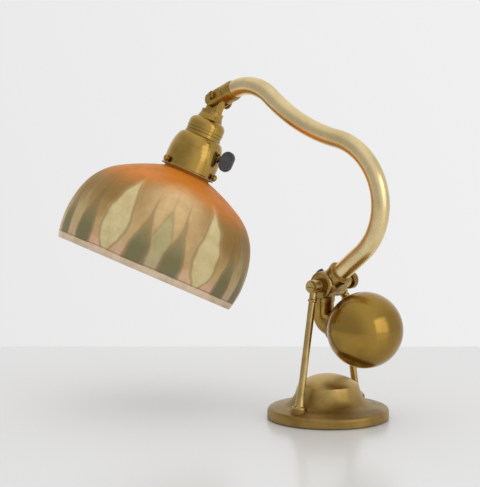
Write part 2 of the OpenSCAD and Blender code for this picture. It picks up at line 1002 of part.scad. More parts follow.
base_shell();
base_weight();
felt_pad();
leg_near();
leg_far();
leg_nuts();
pivot_screw();
pivot_stud();
tension_knob();
friction_washers();
pivot_hub();
cord_bushing();
set_screws();
arm_tube();
ball_stem();
ball_collar();
ball_skin();
ball_core();
arm_ferrule();
swivel_fork();
knuckle_pin();
knuckle_nut();
knuckle_tongue();
holder_cap();
holder_shell();
holder_liner();
switch_body();
thread_shell();
centre_contact();
key_bushing();
switch_key();
shade_holder();
holder_screws();
glass_shade();
bulb_cap();
bulb_glass();
bulb_stem();
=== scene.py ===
import json
from math import acos, asin, atan2, cos, dist, pi, radians, sin

import bmesh
import bpy
from mathutils import Matrix, Vector


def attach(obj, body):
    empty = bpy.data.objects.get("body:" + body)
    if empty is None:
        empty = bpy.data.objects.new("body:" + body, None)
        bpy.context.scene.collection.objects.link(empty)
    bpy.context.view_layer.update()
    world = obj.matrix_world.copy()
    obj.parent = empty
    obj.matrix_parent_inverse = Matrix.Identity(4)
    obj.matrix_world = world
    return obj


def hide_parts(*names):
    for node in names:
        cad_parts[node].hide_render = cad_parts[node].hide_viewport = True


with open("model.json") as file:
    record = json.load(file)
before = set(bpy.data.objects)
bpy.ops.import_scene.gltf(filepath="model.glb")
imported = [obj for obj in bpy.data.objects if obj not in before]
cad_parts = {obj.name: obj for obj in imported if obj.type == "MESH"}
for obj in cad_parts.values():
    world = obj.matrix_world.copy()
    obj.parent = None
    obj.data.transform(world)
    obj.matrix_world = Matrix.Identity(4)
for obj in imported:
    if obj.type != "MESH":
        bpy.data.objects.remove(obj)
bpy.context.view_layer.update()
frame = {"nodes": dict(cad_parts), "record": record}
nodes = frame["nodes"]
mm = 0.001
print("frame loaded:", len(nodes), "nodes")


# camera, as the photograph was taken
view = {"place": (1.384, -1.773, 0.478), "down": 7.51, "turn": 40.30, "lens": 163.5}


def setCamera():
    cam = bpy.data.cameras.new("photoCamera")
    cam.lens = view["lens"]
    cam.sensor_width = 36
    cam.clip_end = 30
    obj = bpy.data.objects.new("photoCamera", cam)
    obj.location = view["place"]
    obj.rotation_euler = (radians(90 - view["down"]), 0, radians(view["turn"]))
    bpy.context.collection.objects.link(obj)
    bpy.context.scene.camera = obj


setCamera()
print("camera set")


# small helpers for node trees
def addNode(tree, kind, **props):
    node = tree.nodes.new(kind)
    for name, value in props.items():
        setattr(node, name, value)
    return node


def setInputs(node, values):
    for name, value in values.items():
        node.inputs[name].default_value = value


def mathNode(tree, operation, a, b=None, c=None, clamp=False):
    node = addNode(tree, "ShaderNodeMath", operation=operation, use_clamp=clamp)
    for socket, value in ((0, a), (1, b), (2, c)):
        if value is None:
            continue
        if isinstance(value, (int, float)):
            node.inputs[socket].default_value = value
        else:
            tree.links.new(value, node.inputs[socket])
    return node.outputs[0]


def mapRange(tree, value, fromLow, fromHigh, toLow, toHigh, smooth=False):
    node = addNode(tree, "ShaderNodeMapRange", interpolation_type="SMOOTHSTEP" if smooth else "LINEAR")
    tree.links.new(value, node.inputs["Value"])
    setInputs(node, {"From Min": fromLow, "From Max": fromHigh, "To Min": toLow, "To Max": toHigh})
    return node.outputs["Result"]


def mixColor(tree, factor, a, b):
    node = addNode(tree, "ShaderNodeMix", data_type="RGBA")
    for socket, value in ((0, factor), (6, a), (7, b)):
        if isinstance(value, (int, float, tuple)):
            node.inputs[socket].default_value = value
        else:
            tree.links.new(value, node.inputs[socket])
    return node.outputs[2]


def noise(tree, vector, scale, detail):
    node = addNode(tree, "ShaderNodeTexNoise")
    setInputs(node, {"Scale": scale, "Detail": detail, "Roughness": 0.55})
    tree.links.new(vector, node.inputs["Vector"])
    return node.outputs["Fac"]


def newMaterial(name):
    material = bpy.data.materials.new(name)
    material.use_nodes = True
    tree = material.node_tree
    return material, tree, tree.nodes["Principled BSDF"]


def bumpTo(tree, shader, height, strength, distance):
    node = addNode(tree, "ShaderNodeBump")
    setInputs(node, {"Strength": strength, "Distance": distance})
    tree.links.new(height, node.inputs["Height"])
    tree.links.new(node.outputs["Normal"], shader.inputs["Normal"])


def newGroup(name, inputs, outputs):
    group = bpy.data.node_groups.new(name, "ShaderNodeTree")
    for label, kind, value in inputs:
        socket = group.interface.new_socket(label, in_out="INPUT", socket_type=kind)
        socket.default_value = value
    for label, kind in outputs:
        group.interface.new_socket(label, in_out="OUTPUT", socket_type=kind)
    return group, group.nodes.new("NodeGroupInput"), group.nodes.new("NodeGroupOutput")


# tarnish and handling marks that all the metal shares, plus painted shade: darkening in crevices and between parts
# from an ambient occlusion node
def makeTarnishAndShade():
    group, start, end = newGroup(
        "tarnishAndShade",
        [("Bright", "NodeSocketColor", (0.7, 0.5, 0.2, 1)), ("Dull", "NodeSocketColor", (0.3, 0.2, 0.08, 1)),
         ("Scale", "NodeSocketFloat", 40.0), ("Amount", "NodeSocketFloat", 0.5),
         ("Smooth", "NodeSocketFloat", 0.18), ("Rough", "NodeSocketFloat", 0.4)],
        [("Color", "NodeSocketColor"), ("Roughness", "NodeSocketFloat"), ("Height", "NodeSocketFloat")])
    coords = addNode(group, "ShaderNodeTexCoord").outputs["Object"]
    blotch = addNode(group, "ShaderNodeTexNoise")
    setInputs(blotch, {"Detail": 5.0, "Roughness": 0.62})
    group.links.new(coords, blotch.inputs["Vector"])
    group.links.new(start.outputs["Scale"], blotch.inputs["Scale"])
    patches = mapRange(group, blotch.outputs["Fac"], 0.38, 0.68, 0.0, 1.0, smooth=True)
    specks = mapRange(group, noise(group, coords, 900.0, 2.0), 0.60, 0.75, 0.0, 0.6)
    both = mathNode(group, "MAXIMUM", patches, specks)
    # painted shade: the ambient occlusion node darkens the colour where parts crowd together
    occlusion = addNode(group, "ShaderNodeAmbientOcclusion", samples=6, only_local=False)
    occlusion.inputs["Distance"].default_value = 0.006
    creviceShade = mapRange(group, occlusion.outputs["AO"], 0.35, 0.85, 0.9, 0.0)
    mask = mathNode(group, "MULTIPLY", both, start.outputs["Amount"], clamp=True)
    mask = mathNode(group, "MAXIMUM", mask, creviceShade)
    tint = addNode(group, "ShaderNodeMix", data_type="RGBA")
    group.links.new(mask, tint.inputs[0])
    group.links.new(start.outputs["Bright"], tint.inputs[6])
    group.links.new(start.outputs["Dull"], tint.inputs[7])
    fine = noise(group, coords, 260.0, 4.0)
    dullness = mathNode(group, "MULTIPLY_ADD", mask, 0.75, mathNode(group, "MULTIPLY", fine, 0.25))
    span = mathNode(group, "SUBTRACT", start.outputs["Rough"], start.outputs["Smooth"])
    rough = mathNode(group, "MULTIPLY_ADD", span, dullness, start.outputs["Smooth"])
    group.links.new(tint.outputs[2], end.inputs["Color"])
    group.links.new(rough, end.inputs["Roughness"])
    group.links.new(noise(group, coords, 500.0, 3.0), end.inputs["Height"])
    return group


tarnishAndShade = makeTarnishAndShade()


def metal(name, bright, dull, scale=40.0, amount=0.5, smooth=0.18, rough=0.42, bump=0.03):
    material, tree, shader = newMaterial(name)
    shader.inputs["Metallic"].default_value = 1.0
    group = addNode(tree, "ShaderNodeGroup", node_tree=tarnishAndShade)
    setInputs(group, {"Bright": bright + (1,), "Dull": dull + (1,), "Scale": scale, "Amount": amount,
                      "Smooth": smooth, "Rough": rough})
    tree.links.new(group.outputs["Color"], shader.inputs["Base Color"])
    tree.links.new(group.outputs["Roughness"], shader.inputs["Roughness"])
    bumpTo(tree, shader, group.outputs["Height"], bump, 0.0004)
    return material


# grain for the dull materials: felt, card, fibre and the like
def makeGrain():
    group, start, end = newGroup(
        "grain",
        [("Light", "NodeSocketColor", (0.5, 0.5, 0.5, 1)), ("Dark", "NodeSocketColor", (0.2, 0.2, 0.2, 1)),
         ("Scale", "NodeSocketFloat", 400.0), ("Smooth", "NodeSocketFloat", 0.5),
         ("Rough", "NodeSocketFloat", 0.9)],
        [("Color", "NodeSocketColor"), ("Roughness", "NodeSocketFloat"), ("Height", "NodeSocketFloat")])
    coords = addNode(group, "ShaderNodeTexCoord").outputs["Object"]
    grit = addNode(group, "ShaderNodeTexNoise")
    setInputs(grit, {"Detail": 6.0, "Roughness": 0.7})
    group.links.new(coords, grit.inputs["Vector"])
    group.links.new(start.outputs["Scale"], grit.inputs["Scale"])
    tint = addNode(group, "ShaderNodeMix", data_type="RGBA")
    group.links.new(mapRange(group, grit.outputs["Fac"], 0.3, 0.7, 0.0, 1.0), tint.inputs[0])
    group.links.new(start.outputs["Dark"], tint.inputs[6])
    group.links.new(start.outputs["Light"], tint.inputs[7])
    span = mathNode(group, "SUBTRACT", start.outputs["Rough"], start.outputs["Smooth"])
    rough = mathNode(group, "MULTIPLY_ADD", span, grit.outputs["Fac"], start.outputs["Smooth"])
    group.links.new(tint.outputs[2], end.inputs["Color"])
    group.links.new(rough, end.inputs["Roughness"])
    group.links.new(grit.outputs["Fac"], end.inputs["Height"])
    return group


grain = makeGrain()


def dullStuff(name, light, dark, scale, smooth, rough, bump, sheen=0.0, metallic=0.0, coat=0.0):
    material, tree, shader = newMaterial(name)
    setInputs(shader, {"Metallic": metallic, "Sheen Weight": sheen, "Coat Weight": coat})
    group = addNode(tree, "ShaderNodeGroup", node_tree=grain)
    setInputs(group, {"Light": light + (1,), "Dark": dark + (1,), "Scale": scale, "Smooth": smooth, "Rough": rough})
    tree.links.new(group.outputs["Color"], shader.inputs["Base Color"])
    tree.links.new(group.outputs["Roughness"], shader.inputs["Roughness"])
    bumpTo(tree, shader, group.outputs["Height"], bump, 0.0006)
    return material


finishes = {
    "brass": metal("oldBrass", (0.49, 0.31, 0.075), (0.26, 0.155, 0.038), 38.0, 0.55, 0.16, 0.38),
    "legBrass": metal("legBrass", (0.60, 0.43, 0.17), (0.33, 0.22, 0.08), 50.0, 0.5, 0.18, 0.38),
    "tubeBrass": metal("armBrass", (0.89, 0.71, 0.39), (0.61, 0.46, 0.21), 30.0, 0.45, 0.20, 0.40),
    "darkBrass": metal("hubBrass", (0.44, 0.29, 0.095), (0.23, 0.14, 0.04), 60.0, 0.6, 0.2, 0.45),
    "ballBrass": metal("ballBrass", (0.40, 0.245, 0.052), (0.23, 0.135, 0.03), 26.0, 0.5, 0.14, 0.34),
    "iron": dullStuff("rawIron", (0.14, 0.13, 0.12), (0.05, 0.05, 0.05), 300.0, 0.5, 0.8, 0.3, metallic=0.8),
    "felt": dullStuff("greenFelt", (0.10, 0.15, 0.07), (0.04, 0.07, 0.03), 1400.0, 0.85, 1.0, 0.6, sheen=0.5),
    "steel": metal("plainSteel", (0.56, 0.55, 0.53), (0.30, 0.28, 0.25), 90.0, 0.5, 0.25, 0.5),
    "fibre": dullStuff("fibreWasher", (0.30, 0.16, 0.08), (0.14, 0.07, 0.03), 700.0, 0.6, 0.9, 0.3),
    "black_fibre": dullStuff("blackBush", (0.05, 0.05, 0.05), (0.02, 0.02, 0.02), 500.0, 0.4, 0.6, 0.15),
    "brass_core": metal("castCore", (0.50, 0.38, 0.18), (0.25, 0.18, 0.08), 120.0, 0.7, 0.4, 0.7, 0.2),
    "card": dullStuff("linerCard", (0.52, 0.38, 0.24), (0.36, 0.25, 0.15), 600.0, 0.8, 0.95, 0.3),
    "porcelain": dullStuff("porcelain", (0.80, 0.77, 0.70), (0.72, 0.69, 0.62), 60.0, 0.12, 0.25, 0.05, coat=0.5),
    "thin_brass": metal("thinBrass", (0.72, 0.54, 0.24), (0.42, 0.28, 0.10), 80.0, 0.4, 0.2, 0.4),
    "dark_grip": dullStuff("keyGrip", (0.10, 0.10, 0.11), (0.04, 0.04, 0.045), 350.0, 0.35, 0.6, 0.12),
}


# base: the dark of years lies in the flange and cove, hands keep the bell brighter, and the outer edge of the flange
# gets a painted highlight
patinaAndHighlight = {"coveLow": 0.018, "coveHigh": 0.044, "uneven": 0.012, "edgeFrom": 0.0600, "edgeTo": 0.0625, "edgeHighlight": 0.3,
          "filmBright": (0.31, 0.185, 0.036, 1), "filmDull": (0.16, 0.09, 0.020, 1), "filmMetal": 0.70,
          "bareBright": (0.58, 0.40, 0.14, 1), "bareDull": (0.31, 0.20, 0.06, 1)}


def makeBaseBrass():
    material, tree, shader = newMaterial("baseBrass")
    coords = addNode(tree, "ShaderNodeTexCoord").outputs["Object"]
    split = addNode(tree, "ShaderNodeSeparateXYZ")
    tree.links.new(coords, split.inputs["Vector"])
    height = mathNode(tree, "MULTIPLY_ADD", noise(tree, coords, 45.0, 4.0), patinaAndHighlight["uneven"], split.outputs["Z"])
    bareAndHighlight = mapRange(tree, height, patinaAndHighlight["coveLow"], patinaAndHighlight["coveHigh"], 0.0, 1.0, smooth=True)
    middle = addNode(tree, "ShaderNodeVectorMath", operation="MULTIPLY")
    tree.links.new(coords, middle.inputs[0])
    middle.inputs[1].default_value = (1, 1, 0)
    reach = addNode(tree, "ShaderNodeVectorMath", operation="LENGTH")
    tree.links.new(middle.outputs["Vector"], reach.inputs[0])
    # painted highlight: the outer edge of the flange is lightened as if it caught the light
    edge = mapRange(tree, reach.outputs["Value"], patinaAndHighlight["edgeFrom"], patinaAndHighlight["edgeTo"], 0.0, patinaAndHighlight["edgeHighlight"],
                    smooth=True)
    bareAndHighlight = mathNode(tree, "MAXIMUM", bareAndHighlight, edge)
    group = addNode(tree, "ShaderNodeGroup", node_tree=tarnishAndShade)
    setInputs(group, {"Scale": 30.0, "Amount": 0.55, "Smooth": 0.32, "Rough": 0.56})
    tree.links.new(mixColor(tree, bareAndHighlight, patinaAndHighlight["filmBright"], patinaAndHighlight["bareBright"]), group.inputs["Bright"])
    tree.links.new(mixColor(tree, bareAndHighlight, patinaAndHighlight["filmDull"], patinaAndHighlight["bareDull"]), group.inputs["Dull"])
    tree.links.new(group.outputs["Color"], shader.inputs["Base Color"])
    tree.links.new(group.outputs["Roughness"], shader.inputs["Roughness"])
    metallic = mapRange(tree, bareAndHighlight, 0.0, 0.6, patinaAndHighlight["filmMetal"], 1.0)  # the dark film isn't all metal
    tree.links.new(metallic, shader.inputs["Metallic"])
    bumpTo(tree, shader, group.outputs["Height"], 0.04, 0.0004)
    return material


finishes["baseBrass"] = makeBaseBrass()
print("finishes made:", len(finishes))


# clear glass for the bulb
def makeClearGlass():
    material, tree, shader = newMaterial("bulbGlass")
    setInputs(shader, {"Transmission Weight": 1.0, "IOR": 1.45, "Base Color": (0.97, 0.97, 0.95, 1)})
    coords = addNode(tree, "ShaderNodeTexCoord").outputs["Object"]
    haze = mapRange(tree, noise(tree, coords, 60.0, 4.0), 0.4, 0.7, 0.02, 0.09)
    tree.links.new(haze, shader.inputs["Roughness"])
    return material


finishes["bulb_glass"] = makeClearGlass()
finishes["bulb_inner"] = finishes["bulb_glass"]

# which finish each CAD node wears
wear = {"pivot_hub": "darkBrass", "ball_collar": "darkBrass", "ball_skin": "ballBrass",
        "base_shell": "baseBrass", "leg_near": "legBrass", "leg_far": "legBrass",
        "pivot_screw": "legBrass"}
slotOf = {part["node"]: part["material_slot"] for part in frame["record"]["subparts"]}
for name, obj in nodes.items():
    finish = wear.get(name, slotOf[name])
    if finish not in finishes:
        continue
    for slot in obj.material_slots:
        slot.material = finishes[finish]
print("CAD nodes dressed")


# helpers for new pieces, drawn in millimetres and placed by a matrix
def vertsOf(geom):
    return [g for g in geom if isinstance(g, bmesh.types.BMVert)]


def arcPoints(centre, r, a, b, n):
    steps = [radians(a + (b - a) * i / n) for i in range(n + 1)]
    return [(centre[0] + r * cos(t), centre[1] + r * sin(t)) for t in steps]


def lengthOf(points):
    return sum(dist(a, b) for a, b in zip(points, points[1:]))


def spun(profile, steps, closed=True):
    bm = bmesh.new()
    along = bm.verts.layers.float.new("along")  # length of the outline up to each ring
    verts, length = [], 0.0
    for i, (r, z) in enumerate(profile):
        length += dist((r, z), profile[i - 1]) if i else 0.0
        vert = bm.verts.new((r, 0, z))
        vert[along] = length
        verts.append(vert)
    pairs = list(zip(verts, verts[1:]))
    if closed:
        pairs.append((verts[-1], verts[0]))
    edges = [bm.edges.new(pair) for pair in pairs]
    bmesh.ops.spin(bm, geom=verts + edges, cent=(0, 0, 0), axis=(0, 0, 1), angle=2 * pi, steps=steps,
                   use_merge=True)
    bmesh.ops.remove_doubles(bm, verts=bm.verts, dist=1e-4)
    bmesh.ops.recalc_face_normals(bm, faces=bm.faces)
    return bm


sharpFrom = radians(32)


def finishPiece(bm, name, materials, body, standsFor, place):
    bm.transform(place @ Matrix.Scale(mm, 4))
    mesh = bpy.data.meshes.new(name)
    bm.to_mesh(mesh)
    bm.free()
    for material in materials:
        mesh.materials.append(material)
    mesh.shade_smooth()
    mesh.set_sharp_from_angle(angle=sharpFrom)
    obj = bpy.data.objects.new(name, mesh)
    bpy.context.collection.objects.link(obj)
    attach(obj, body)
    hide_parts(*standsFor)


def turn(angle, axis):
    return Matrix.Rotation(radians(angle), 4, axis)


def shift(x, y, z):
    return Matrix.Translation((x * mm, y * mm, z * mm))


def heading(angle):
    return Vector((cos(radians(angle)), sin(radians(angle))))


def leftOf(angle):
    return Vector((-sin(radians(angle)), cos(radians(angle))))


# arm tube: a ring carried along the straight run, the three bends and the tail
arm = {"pivotH": 140.0, "r": 9.5, "bore": 8.0, "start": 9.0, "rise": 40.0, "run": 54.5,
       "bowR": 65.5, "bowTurn": 131.0, "waveR": 185.0, "waveTurn": 30.0, "archR": 46.0, "archTurn": 65.0,
       "tail": 7.0, "sides": 40}


def makeArm():
    bm = bmesh.new()
    ends = []
    for r in (arm["r"], arm["bore"]):
        start = heading(arm["rise"]) * arm["start"]
        foot = Matrix.Translation((start.x, 0, start.y)) @ turn(90 - arm["rise"], "Y")
        ring = bmesh.ops.create_circle(bm, segments=arm["sides"], radius=r, matrix=foot)["verts"]
        first = edges = list(dict.fromkeys(e for v in ring for e in v.link_edges))
        at, angle = start, arm["rise"]
        stages = [("run", arm["run"] - arm["start"], 0), ("bend", arm["bowR"], arm["bowTurn"]),
                  ("bend", arm["waveR"], -arm["waveTurn"]), ("bend", arm["archR"], arm["archTurn"]),
                  ("run", arm["tail"], 0)]
        for kind, size, swing in stages:
            if kind == "run":
                out = bmesh.ops.extrude_edge_only(bm, edges=edges)["geom"]
                step = heading(angle) * size
                bmesh.ops.translate(bm, verts=vertsOf(out), vec=(step.x, 0, step.y))
                edges = [g for g in out if isinstance(g, bmesh.types.BMEdge) and len(g.link_faces) == 1]
                at = at + step
            else:
                side = 1 if swing > 0 else -1
                centre = at + leftOf(angle) * size * side
                out = bmesh.ops.spin(bm, geom=edges, cent=(centre.x, 0, centre.y), axis=(0, -1, 0),
                                     angle=radians(swing), steps=max(8, int(abs(swing) / 2)))["geom_last"]
                edges = [g for g in out if isinstance(g, bmesh.types.BMEdge)]
                angle += swing
                at = centre - leftOf(angle) * size * side
        ends.append((first, edges))
    for which in (0, 1):
        bmesh.ops.bridge_loops(bm, edges=ends[0][which] + ends[1][which])
    bmesh.ops.recalc_face_normals(bm, faces=bm.faces)
    finishPiece(bm, "armTube", [finishes["tubeBrass"]], "arm", ["arm_tube"], shift(0, 0, arm["pivotH"]))
    return at, angle


tipAt, tipAngle = makeArm()
atTip = shift(tipAt.x, 0, arm["pivotH"] + tipAt.y) @ turn(90 - tipAngle, "Y")
knuckle = {"reach": 18.0, "swivel": 27.0, "bend": 54.5}
inSwivel = atTip @ turn(knuckle["swivel"], "Z")
inHead = inSwivel @ shift(0, 0, knuckle["reach"]) @ turn(-knuckle["bend"], "Y")
print("arm tube made, tip at", tuple(round(v, 2) for v in tipAt))


# glass shade: painted outside, pale inside
shade = {"rimZ": 201.0, "rimR": 98.0, "bellyR": 102.0, "bellyH": 28.0, "shoulderR": 63.5, "crownR": 220.0,
         "neckR": 25.0, "neckH": 11.0, "glass": 3.0, "panels": 6, "firstPanel": 57.0, "steps": 160,
         "sideEnd": 20.0, "shoulderEnd": 60.0, "rimRound": 1.1}


def shadeLine(t, n):
    swell = shade["bellyR"] - shade["rimR"]
    sideR = (swell ** 2 + shade["bellyH"] ** 2) / (2 * swell)
    sideAt = Vector((shade["bellyR"] - sideR, shade["bellyH"]))
    shoulderAt = sideAt + (sideR - shade["shoulderR"]) * heading(shade["sideEnd"])
    crownAt = shoulderAt + (shade["shoulderR"] - shade["crownR"]) * heading(shade["shoulderEnd"])
    low = -asin(shade["bellyH"] / (sideR - t)) * 180 / pi
    high = acos((shade["neckR"] - n - crownAt.x) / (shade["crownR"] - t)) * 180 / pi
    crownH = crownAt.y + shade["crownR"] * sin(acos((shade["neckR"] - crownAt.x) / shade["crownR"]))
    line = (arcPoints(sideAt, sideR - t, low, shade["sideEnd"], 20)
            + arcPoints(shoulderAt, shade["shoulderR"] - t, shade["sideEnd"] + 2.5, shade["shoulderEnd"], 16)
            + arcPoints(crownAt, shade["crownR"] - t, shade["shoulderEnd"] + 1.5, high, 10))
    return line, crownH + shade["neckH"]


def curveOf(tree, value, points):
    node = addNode(tree, "ShaderNodeFloatCurve")
    tree.links.new(value, node.inputs["Value"])
    curve = node.mapping.curves[0]
    curve.points[0].location = points[0]
    curve.points[1].location = points[-1]
    for x, y in points[1:-1]:
        curve.points.new(x, y)
    node.mapping.update()
    return node.outputs["Value"]


# paint of the shade, by angle around it and by length up from the rim
paint = {"cream": (0.76, 0.63, 0.32, 1), "pale": (0.47, 0.45, 0.23, 1), "beige": (0.62, 0.43, 0.19, 1),
         "peach": (0.80, 0.54, 0.26, 1), "amber": (0.31, 0.17, 0.035, 1), "orange": (0.68, 0.20, 0.008, 1),
         "leaf": (0.155, 0.165, 0.075, 1), "salmon": (0.76, 0.48, 0.31, 1), "border": (0.84, 0.66, 0.48, 1),
         "line": (0.20, 0.11, 0.04, 1), "leafAt": 0.32, "palest": 148.0, "borderTop": 0.047, "lineAt": 0.050,
         "showsThrough": 0.30, "opalDark": (0.80, 0.72, 0.55, 1), "opalLight": (0.84, 0.79, 0.66, 1)}
# half width of each leaf shape at heights from the rim up to the neck
outlines = {"petal": ((0.0, 0.0), (0.06, 0.05), (0.14, 0.12), (0.27, 0.145), (0.42, 0.10), (0.60, 0.02), (1.0, 0.0)),
            "bud": ((0.0, 0.06), (0.12, 0.09), (0.24, 0.10), (0.42, 0.02), (1.0, 0.0)),
            "leaf": ((0.0, 0.09), (0.09, 0.105), (0.20, 0.08), (0.36, 0.015), (1.0, 0.0))}


def makePetals():
    tree, _, end = newGroup("petals", [], [("Color", "NodeSocketColor"), ("Mottle", "NodeSocketFloat")])
    uv = addNode(tree, "ShaderNodeUVMap", uv_map="around").outputs["UV"]
    split = addNode(tree, "ShaderNodeSeparateXYZ")
    tree.links.new(uv, split.inputs["Vector"])
    u, v = split.outputs["X"], split.outputs["Y"]
    coords = addNode(tree, "ShaderNodeTexCoord").outputs["Object"]
    wobble = mathNode(tree, "MULTIPLY", mathNode(tree, "SUBTRACT", noise(tree, coords, 30.0, 3.0), 0.5), 0.10)
    firstCell = shade["firstPanel"] / 360 * shade["panels"] - 0.5
    cell = mathNode(tree, "SUBTRACT", mathNode(tree, "MULTIPLY", u, float(shade["panels"])), firstCell)
    across = mathNode(tree, "ABSOLUTE", mathNode(tree, "SUBTRACT", mathNode(tree, "FRACT", cell), 0.5))
    across = mathNode(tree, "ADD", across, wobble)
    up = mathNode(tree, "ADD", v, wobble)

    def shape(name, offset, soft):
        away = mathNode(tree, "ABSOLUTE", mathNode(tree, "SUBTRACT", across, offset))
        inside = mathNode(tree, "SUBTRACT", curveOf(tree, v, outlines[name]), away)
        return mapRange(tree, inside, -soft, soft, 0.0, 1.0, smooth=True), inside

    petal, petalSide = shape("petal", 0.0, 0.045)
    bud, budSide = shape("bud", 0.5, 0.05)
    leaf, leafSide = shape("leaf", paint["leafAt"], 0.035)
    tone = mixColor(tree, mapRange(tree, up, 0.06, 0.20, 0.0, 1.0, smooth=True), paint["salmon"], paint["beige"])
    # every other panel is paler, and its upper tones start higher; the palest panel is turned to face the camera, so
    # this is partly painted light: a lighter front and painted shade towards the limbs
    third = mathNode(tree, "MULTIPLY", mathNode(tree, "SUBTRACT", u, paint["palest"] / 360), 6 * pi)
    paler = mathNode(tree, "POWER", mathNode(tree, "MULTIPLY_ADD", mathNode(tree, "COSINE", third), 0.5, 0.5), 2.5)
    lift = mathNode(tree, "ADD", up, mathNode(tree, "MULTIPLY_ADD", paler, -0.07, 0.07))
    upper = mixColor(tree, paler, paint["amber"], paint["peach"])
    tone = mixColor(tree, mapRange(tree, lift, 0.20, 0.50, 0.0, 1.0, smooth=True), tone, upper)
    tone = mixColor(tree, mathNode(tree, "MULTIPLY", petal, 0.95), tone, paint["cream"])
    bud = mathNode(tree, "MULTIPLY", bud, mathNode(tree, "MULTIPLY_ADD", paler, 0.45, 0.30))
    tone = mixColor(tree, bud, tone, paint["pale"])
    leaf = mathNode(tree, "MULTIPLY", leaf, mapRange(tree, up, 0.16, 0.34, 0.92, 0.45))
    tone = mixColor(tree, leaf, tone, paint["leaf"])
    for side, strength in ((petalSide, 0.45), (budSide, 0.25), (leafSide, 0.30)):
        edge = mapRange(tree, mathNode(tree, "ABSOLUTE", side), 0.0, 0.026, strength, 0.0, smooth=True)
        edge = mathNode(tree, "MULTIPLY", edge, mapRange(tree, v, 0.50, 0.65, 1.0, 0.0))
        tone = mixColor(tree, edge, tone, paint["line"])
    low = mathNode(tree, "MULTIPLY_ADD", wobble, 0.12, v)
    drawn = mathNode(tree, "ABSOLUTE", mathNode(tree, "SUBTRACT", low, paint["lineAt"]))
    tone = mixColor(tree, mapRange(tree, drawn, 0.0, 0.008, 0.55, 0.0, smooth=True), tone, paint["line"])
    border = mapRange(tree, low, 0.040, paint["borderTop"], 0.9, 0.0, smooth=True)
    tone = mixColor(tree, border, tone, paint["border"])
    crown = mathNode(tree, "MULTIPLY_ADD", paler, -0.10, up)
    tone = mixColor(tree, mapRange(tree, crown, 0.46, 0.70, 0.0, 1.0, smooth=True), tone, paint["orange"])
    mottled = noise(tree, coords, 70.0, 5.0)
    tone = mixColor(tree, mapRange(tree, mottled, 0.40, 0.75, 0.0, 0.35), tone, paint["amber"])
    tree.links.new(tone, end.inputs["Color"])
    tree.links.new(mottled, end.inputs["Mottle"])
    return tree


petals = makePetals()


def makeShadePaint():
    material, tree, shader = newMaterial("shadePaint")
    shader.inputs["Specular IOR Level"].default_value = 0.3
    painting = addNode(tree, "ShaderNodeGroup", node_tree=petals)
    tree.links.new(painting.outputs["Color"], shader.inputs["Base Color"])
    tree.links.new(mapRange(tree, painting.outputs["Mottle"], 0.3, 0.7, 0.44, 0.62), shader.inputs["Roughness"])
    coords = addNode(tree, "ShaderNodeTexCoord").outputs["Object"]
    frost = addNode(tree, "ShaderNodeTexVoronoi", feature="SMOOTH_F1")
    setInputs(frost, {"Scale": 240.0, "Smoothness": 0.6})
    tree.links.new(coords, frost.inputs["Vector"])
    bumpTo(tree, shader, frost.outputs["Distance"], 0.25, 0.0012)
    return material


def makeShadeLining():
    material, tree, shader = newMaterial("shadeLining")
    shader.inputs["Coat Weight"].default_value = 0.2
    painting = addNode(tree, "ShaderNodeGroup", node_tree=petals)
    coords = addNode(tree, "ShaderNodeTexCoord").outputs["Object"]
    cloudy = noise(tree, coords, 45.0, 4.0)
    opal = mixColor(tree, cloudy, paint["opalDark"], paint["opalLight"])
    tint = mixColor(tree, paint["showsThrough"], opal, painting.outputs["Color"])
    tree.links.new(tint, shader.inputs["Base Color"])
    tree.links.new(mapRange(tree, cloudy, 0.3, 0.7, 0.3, 0.5), shader.inputs["Roughness"])
    bumpTo(tree, shader, cloudy, 0.1, 0.001)
    return material


def makeShade():
    outer, top = shadeLine(0, 0)
    inner, _ = shadeLine(shade["glass"], shade["glass"])
    neck = shade["neckR"]
    lip = [(neck, top - 3), (neck + 0.8, top - 2.4), (neck + 1.2, top - 1.5), (neck + 0.9, top - 0.3),
           (neck + 0.2, top), (neck - shade["glass"] + 0.8, top), (neck - shade["glass"], top - 0.8)]
    profile = outer + lip + inner[::-1]
    bm = spun(profile, shade["steps"])
    along = bm.verts.layers.float["along"]
    painted, whole = lengthOf(outer), lengthOf(profile)
    lipTop = painted + lengthOf(outer[-1:] + lip[:5])  # the paint goes over the lip as far as its top
    around = bm.loops.layers.uv.new("around")
    for face in bm.faces:
        middle = face.calc_center_median()
        face.material_index = 0 if max(v[along] for v in face.verts) < lipTop + 0.1 else 1
        base = atan2(middle.y, middle.x) / (2 * pi)
        for loop in face.loops:
            co = loop.vert.co
            here = atan2(co.y, co.x) / (2 * pi)
            here += round(base - here)
            fromRim = min(loop.vert[along], whole - loop.vert[along])
            loop[around].uv = (here + 1.0, min(1.0, fromRim / painted))
    low = min(v.co.z for v in bm.verts)
    rimEdges = [e for e in bm.edges if all(v.co.z < low + 0.6 for v in e.verts)
                and len({round(v[along]) for v in e.verts}) == 1]
    bmesh.ops.bevel(bm, geom=rimEdges, offset=shade["rimRound"], offset_type="OFFSET", segments=3, profile=0.5,
                    affect="EDGES", material=-1)
    place = inHead @ shift(0, 0, shade["rimZ"]) @ turn(180, "X")
    finishPiece(bm, "glassShade", [makeShadePaint(), makeShadeLining()], "head", ["glass_shade"],
                place)


makeShade()
print("shade made")


# knobs and screws: turned blanks, with each face of a grip raised on its own for the knurl
knurling = {"inset": 0.13, "raise": 0.3}


def knurl(bm, low, high, r):
    grip = [f for f in bm.faces if low < f.calc_center_median().z < high and abs(f.normal.z) < 0.2
            and f.calc_center_median().xy.length > r - 0.2]
    bmesh.ops.inset_individual(bm, faces=grip, thickness=knurling["inset"], depth=knurling["raise"],
                               use_even_offset=True)


knob = {"outY": 29.3, "bore": 2.55, "teeth": 64}


